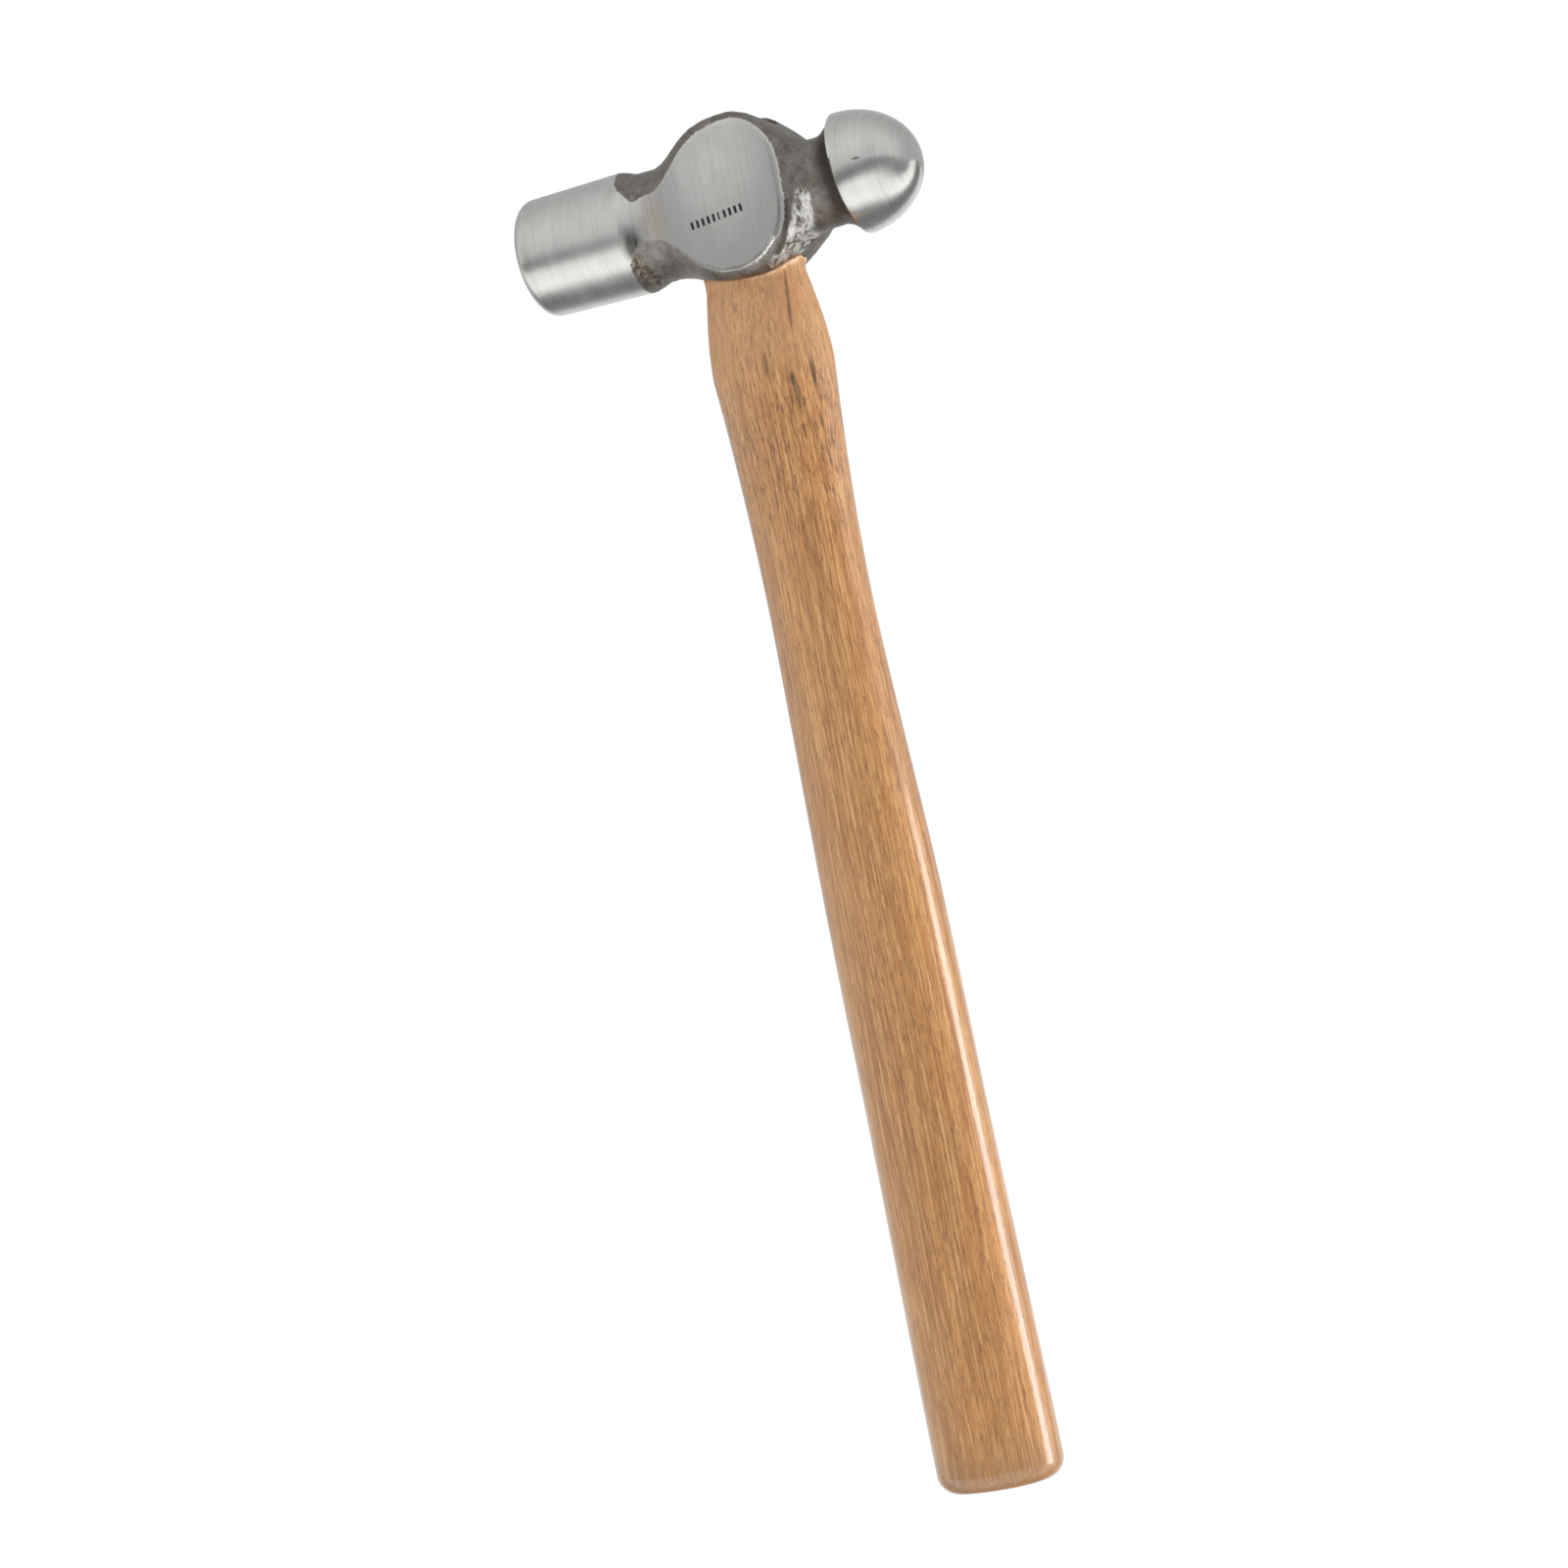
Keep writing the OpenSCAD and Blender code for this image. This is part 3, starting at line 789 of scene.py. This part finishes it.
def head_steel():
    m = Recipe("head_steel")
    ground, edge, torn, groove = (m.attribute(name) for name in ("ground", "edge", "torn", "groove"))
    brushed = m.noise((0.16, 9, 9), 3, 0.6, 1)
    streaks = m.noise((0.9, 26, 26), 2, 0.6, 2)
    cloud = m.noise((7, 7, 7), 3, 0.55, 3)
    tone = ground_tone(m, brushed, streaks, cloud)

    scale = m.noise((2.6, 2.6, 2.6), 4, 0.6, 5)
    grit = m.noise((0.4, 0.4, 0.4), 3, 0.65, 6)
    forged = m.blend(m.span(scale, 0.3, 0.7), (0.150, 0.138, 0.122), (0.270, 0.255, 0.235))
    forged = m.blend(m.span(grit, 0.45, 0.75, 0, 0.6), forged, (0.42, 0.40, 0.37))
    forged = m.blend(m.span(grit, 0.42, 0.30, 0, 0.5), forged, (0.06, 0.052, 0.042))
    rust = m.span(m.noise((3.1, 3.1, 3.1), 3, 0.6, 7), 0.56, 0.72, 0, 0.5)
    forged = m.blend(rust, forged, (0.20, 0.15, 0.095))

    crystals = m.noise((1.0, 2.3, 1.2), 4, 0.58, 8)
    raw = m.blend(m.span(crystals, 0.37, 0.57), (0.19, 0.17, 0.14), (0.76, 0.75, 0.71))
    notch = m.span(m.x, -18, -22)
    notch_tone = m.blend(m.span(crystals, 0.36, 0.62), (0.10, 0.085, 0.068), (0.38, 0.335, 0.275))
    raw = m.blend(notch, raw, notch_tone)
    # painted shade: the forged steel darkened in the groove beside the near cheek
    forged = m.blend(m.maths("MULTIPLY", groove, 0.8), forged, (0.085, 0.075, 0.062))
    # painted shade: the forged neck darkens towards the ball, where shade falls between neck and ball
    painted_throat_shade = m.span(m.x, 23.5, 28.5, 0, 0.8)
    forged = m.blend(painted_throat_shade, forged, (0.06, 0.052, 0.045))

    steel = m.blend(ground, forged, tone)
    steel = m.blend(m.span(torn, 0.25, 0.7), steel, raw)
    # painted highlight along the edge between forged and ground steel
    steel = m.blend(m.maths("MULTIPLY", edge, 0.8), steel, (0.82, 0.81, 0.78))

    polish = m.span(m.x, 20, 30)
    satin = m.blend(polish, m.span(cloud, 0.3, 0.7, 0.21, 0.28), m.span(cloud, 0.3, 0.7, 0.11, 0.16))
    shine = m.blend(ground, m.span(grit, 0.3, 0.7, 0.42, 0.58), satin)
    heights = m.blend(ground, m.blend(0.5, scale, grit), brushed)
    depths = m.bump(m.maths("MULTIPLY", torn, crystals), 0.5, m.bump(heights, 0.05))
    return m.finish(Base_Color=steel, Metallic=1.0, Roughness=shine, Normal=depths)


def handle_wood():
    m = Recipe("handle_wood")
    board = m.noise((13, 200, 13), 2, 0.5, 1)
    mottle = m.noise((3.2, 16, 3.2), 3, 0.6, 6)
    grain = m.noise((1.5, 70, 1.5), 3, 0.6, 2)
    fibre = m.noise((0.5, 20, 0.5), 3, 0.65, 3)
    pores = m.noise((0.36, 3.2, 0.36), 2, 0.55, 4)
    pore = m.span(pores, 0.55, 0.61)
    flecks = m.span(m.noise((0.62, 5.0, 0.62), 2, 0.5, 5), 0.60, 0.66)

    wood = m.blend(m.span(board, 0.3, 0.7), (0.56, 0.245, 0.062), (0.67, 0.305, 0.086))
    wood = m.blend(m.span(mottle, 0.35, 0.7, 0, 0.45), wood, (0.42, 0.185, 0.062))
    wood = m.blend(m.span(grain, 0.36, 0.64, 0, 0.75), wood, (0.36, 0.140, 0.034))
    wood = m.blend(m.span(fibre, 0.44, 0.68, 0, 0.85), wood, (0.84, 0.475, 0.195))
    rough_end = m.span(m.y, -110, -50)
    pore = m.maths("MULTIPLY", pore, m.span(rough_end, 0, 1, 0.42, 0.68))
    wood = m.blend(pore, wood, (0.16, 0.058, 0.018))
    flecks = m.maths("MULTIPLY", flecks, m.span(rough_end, 0, 1, 0.30, 0.80))
    wood = m.blend(flecks, wood, (0.15, 0.055, 0.018))

    redder = m.maths("MULTIPLY", m.near((10.5, -27, 9), (5, 11, 9)), 0.55)
    wood = m.blend(redder, wood, (0.60, 0.235, 0.075))
    # painted reflection: the handle's -X side greyed and paled as if its coat reflected the pale room
    painted_left_reflection = m.span(m.x, 2, -13, 0, 0.3)
    wood = m.blend(painted_left_reflection, wood, (0.46, 0.28, 0.16))
    bare = m.span(m.y, -54, -36)
    wood = m.blend(m.maths("MULTIPLY", bare, 0.40), wood, (0.74, 0.44, 0.25))
    for place, reach, depth in DARK_MARKS:
        mark = m.maths("MULTIPLY", m.near(place, reach), m.span(fibre, 0.3, 0.6, 1, 0.6))
        wood = m.blend(m.maths("MULTIPLY", mark, depth), wood, (0.07, 0.03, 0.010))
    frayed = m.maths("MULTIPLY", m.span(m.attribute("frayed"), 0.12, 0.5), m.span(m.y, -8, -12))
    wood = m.blend(m.maths("MULTIPLY", frayed, 0.8), wood, (0.86, 0.60, 0.38))
    end_grain = m.span(m.y, 14, 17)
    rings = m.noise((0.45, 0.45, 0.45), 3, 0.6, 8)
    sawn = m.blend(m.span(rings, 0.35, 0.65), (0.24, 0.11, 0.045), (0.50, 0.27, 0.12))
    wood = m.blend(end_grain, wood, sawn)
    # darker and greyer towards the butt's end
    darker_towards_butt = m.span(m.y, 17.0 - BUTT_REACH, 2.0 - BUTT_REACH, 0, 0.5)
    wood = m.blend(darker_towards_butt, wood, (0.31, 0.165, 0.080))
    heights = m.blend(0.5, pores, fibre)
    return m.finish(
        Base_Color=wood,
        Roughness=0.5,
        Normal=m.bump(heights, 0.07),
        Coat_Weight=m.span(bare, 0, 1, 1, 0.08),
        Coat_Roughness=0.15,
        Coat_Normal=m.bump(heights, 0.03),
    )


def wedge_wood():
    m = Recipe("wedge_wood")
    grain = m.noise((0.5, 6, 3), 3, 0.6, 1)
    wood = m.blend(m.span(grain, 0.3, 0.7), (0.42, 0.27, 0.13), (0.60, 0.42, 0.23))
    return m.finish(Base_Color=wood, Roughness=0.7, Normal=m.bump(grain, 0.1))


def wedge_steel():
    m = Recipe("wedge_steel")
    scale = m.noise((1.2, 1.2, 1.2), 4, 0.6, 1)
    steel = m.blend(m.span(scale, 0.3, 0.7), (0.22, 0.20, 0.18), (0.45, 0.43, 0.40))
    dull = m.span(scale, 0.3, 0.7, 0.3, 0.5)
    return m.finish(Base_Color=steel, Metallic=1.0, Roughness=dull, Normal=m.bump(scale, 0.1))


# ---------------------------------------------------------------- camera, stage and lights
CAMERA_AZIMUTH = math.radians(22.949)
CAMERA_TILT = math.radians(-1.847)
CAMERA_ROLL = math.radians(-11.611)
CAMERA_DISTANCE = 1.0763
CAMERA_LENS = 99.675
CAMERA_AIM = Vector((-0.0157, 0.00795, 0.0155))
BAND_PEAK = 2.0
BAND_LEAN = 0.30
BAND_SPREAD = 0.15
# The studio's brightness at each angle in degrees from straight up, positive towards the butt: a pale
# room behind the crown, a dark gap overhead, a soft box over the handle, a dark flag below it, and a
# pale wall beyond.
STUDIO_BANDS = (
    (-130, 0.58),
    (-45, 0.88),
    (-11, 0.78),
    (2, 0.38),
    (12, 0.32),
    (31, 1.28),
    (62, 1.48),
    (88, 0.38),
    (105, 0.26),
    (128, 0.30),
    (155, 0.90),
    (179, 1.00),
)
BOUNCE_PLACE = (0.84, -0.23, -0.29)
BOUNCE_AIM = (0, -0.1, 0.02)
BOUNCE_SIZE = (0.58, 0.30)
BOUNCE_POWER = 4.6
FLOOR_HALF = 6
FLOOR_DROP = 0.0003


def build_camera():
    """Looks down on the lying hammer from a little over its ball side."""
    back = Vector((
        math.sin(CAMERA_AZIMUTH) * math.cos(CAMERA_TILT),
        math.sin(CAMERA_TILT),
        math.cos(CAMERA_AZIMUTH) * math.cos(CAMERA_TILT),
    ))
    level = Vector((0, 1, 0)).cross(back).normalized()
    upright = back.cross(level)
    right = level * math.cos(CAMERA_ROLL) + upright * math.sin(CAMERA_ROLL)
    up = upright * math.cos(CAMERA_ROLL) - level * math.sin(CAMERA_ROLL)
    camera = bpy.data.objects.new("camera", bpy.data.cameras.new("camera"))
    bpy.context.scene.collection.objects.link(camera)
    camera.data.lens = CAMERA_LENS
    camera.data.sensor_width = 36
    camera.data.clip_start = 0.01
    camera.data.clip_end = 100
    turn = Matrix((right, up, back)).transposed().to_4x4()
    camera.matrix_world = Matrix.Translation(CAMERA_AIM + back * CAMERA_DISTANCE) @ turn
    bpy.context.scene.camera = camera


def build_floor():
    """A plain white floor, which shows no shadow; what it throws back comes from the studio instead."""
    mesh = bpy.data.meshes.new("floor")
    corners = [(x * FLOOR_HALF, y * FLOOR_HALF, 0) for x, y in ((-1, -1), (1, -1), (1, 1), (-1, 1))]
    mesh.from_pydata(corners, [], [(0, 1, 2, 3)])
    floor = bpy.data.objects.new("floor", mesh)
    floor.location.z = -FLOOR_DROP
    bpy.context.scene.collection.objects.link(floor)
    m = Recipe("floor_white")
    glow = {"Emission_Color": (1, 1, 1), "Emission_Strength": 1.0}
    mesh.materials.append(m.finish(Base_Color=(0.1, 0.1, 0.1), Roughness=0.9, **glow))
    floor.visible_glossy = False
    floor.visible_diffuse = False
    floor.visible_shadow = False


def area_light(name, place, aim, size, power):
    light = bpy.data.lights.new(name, "AREA")
    light.shape = "RECTANGLE"
    light.size, light.size_y = size
    light.energy = power
    lamp = bpy.data.objects.new(name, light)
    bpy.context.scene.collection.objects.link(lamp)
    lamp.location = place
    lamp.rotation_euler = (Vector(aim) - Vector(place)).to_track_quat("-Z", "Y").to_euler()
    return lamp


def build_studio():
    """Surrounds the hammer with bands of light and shade that run along the head."""
    world = bpy.data.worlds.new("studio")
    bpy.context.scene.world = world
    world.use_nodes = True
    tree = world.node_tree

    def maths(operation, *values):
        made = tree.nodes.new("ShaderNodeMath")
        made.operation = operation
        for socket, value in zip(made.inputs, values):
            if isinstance(value, bpy.types.NodeSocket):
                tree.links.new(value, socket)
            else:
                socket.default_value = value
        return made.outputs[0]

    split = tree.nodes.new("ShaderNodeSeparateXYZ")
    tree.links.new(tree.nodes.new("ShaderNodeTexCoord").outputs["Generated"], split.inputs[0])
    x, y, z = split.outputs
    angle = maths("ARCTAN2", maths("MULTIPLY", y, -1), z)
    right = maths("MAXIMUM", x, 0)
    spread = maths("MULTIPLY_ADD", x, BAND_SPREAD, maths("MULTIPLY", right, right))
    upper = maths("MULTIPLY", maths("MAXIMUM", angle, 0), spread)
    place = maths("SUBTRACT", maths("MULTIPLY_ADD", x, BAND_LEAN, angle), upper)
    bands = tree.nodes.new("ShaderNodeValToRGB")
    bands.color_ramp.interpolation = "EASE"
    for degrees, light in STUDIO_BANDS:
        stop = bands.color_ramp.elements.new((degrees + 180) / 360)
        stop.color = (light / BAND_PEAK, light / BAND_PEAK, light / BAND_PEAK, 1)
    bands.color_ramp.elements.remove(bands.color_ramp.elements[0])
    bands.color_ramp.elements.remove(bands.color_ramp.elements[-1])
    tree.links.new(maths("MULTIPLY_ADD", place, 0.5 / math.pi, 0.5), bands.inputs[0])
    background = tree.nodes["Background"]
    tree.links.new(bands.outputs[0], background.inputs["Color"])
    background.inputs["Strength"].default_value = BAND_PEAK


def light_only(lamp, piece):
    """Keeps a lamp's light to one piece, as a flag in front of it would."""
    lit = bpy.data.collections.new(lamp.name + "_lights")
    lit.objects.link(piece)
    lamp.light_linking.receiver_collection = lit


bpy.context.scene.view_settings.view_transform = "Standard"
build_camera()
build_floor()
build_studio()

head = build_head()
handle = build_handle()
wedges = build_wedges()
table_bounce = area_light("table_bounce", BOUNCE_PLACE, BOUNCE_AIM, BOUNCE_SIZE, BOUNCE_POWER)
light_only(table_bounce, handle)

finishes = [(head, "head", "head_steel"), (handle, "handle", "handle_wood")]
for name, piece in wedges.items():
    finishes.append((piece, name, "wedge_wood" if name == "wood_wedge" else "wedge_steel"))
for piece, node, slot in finishes:
    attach(piece, "root")
    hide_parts(node)
